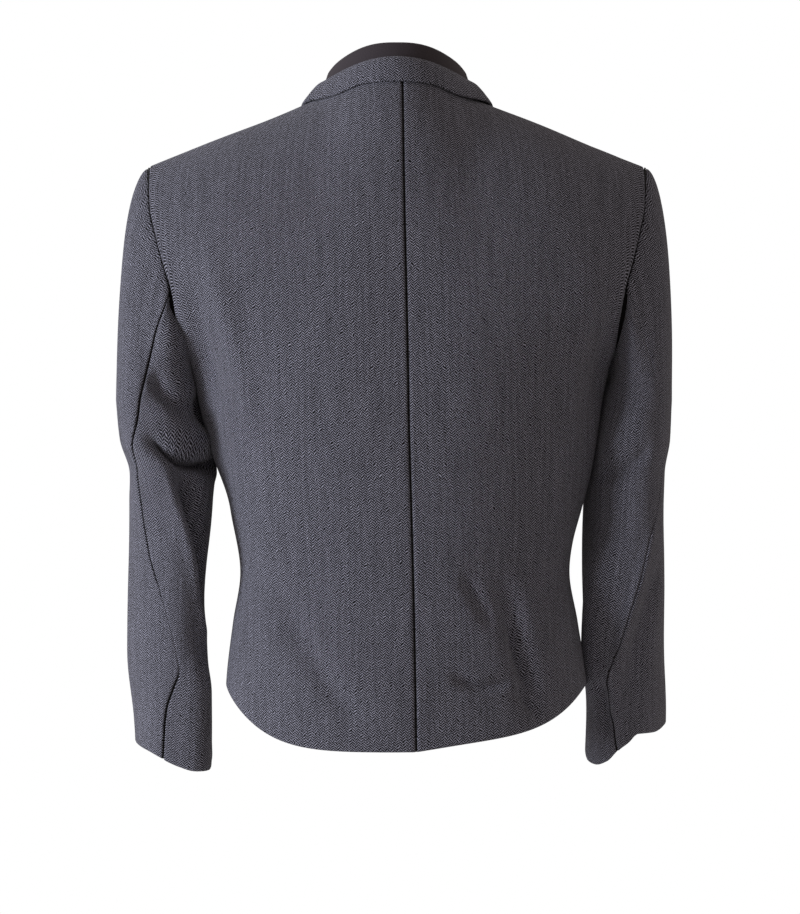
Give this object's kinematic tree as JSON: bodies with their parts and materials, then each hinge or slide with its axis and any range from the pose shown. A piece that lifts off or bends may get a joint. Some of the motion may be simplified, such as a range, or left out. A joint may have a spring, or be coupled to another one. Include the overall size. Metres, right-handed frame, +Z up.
{
  "type": "wool blazer",
  "caption": "Short waisted tailored blazer in herringbone wool with a black collar stand, hollow, hanging as worn with sleeves down.",
  "frame": {"origin": "between the shoulders, at the height where the shoulder seams meet the collar", "axes": "+Z up, the front faces -Y and the back +Y, +X to the wearer's left"},
  "size_m": [0.503, 0.2466, 0.6526],
  "materials": {
    "wool": "matte",
    "black_cloth": "matte",
    "horn": "satin"
  },
  "bodies": {
    "root": {"back_left": "wool", "back_right": "wool", "front_left": "wool", "front_right": "wool", "lapel_left": "wool", "lapel_right": "wool", "collar_fall": "wool", "sleeve_left_upper": "wool", "sleeve_left_under": "wool", "sleeve_right_upper": "wool", "sleeve_right_under": "wool", "collar_stand": "black_cloth", "button_1": "horn", "button_2": "horn"}
  },
  "joints": []
}
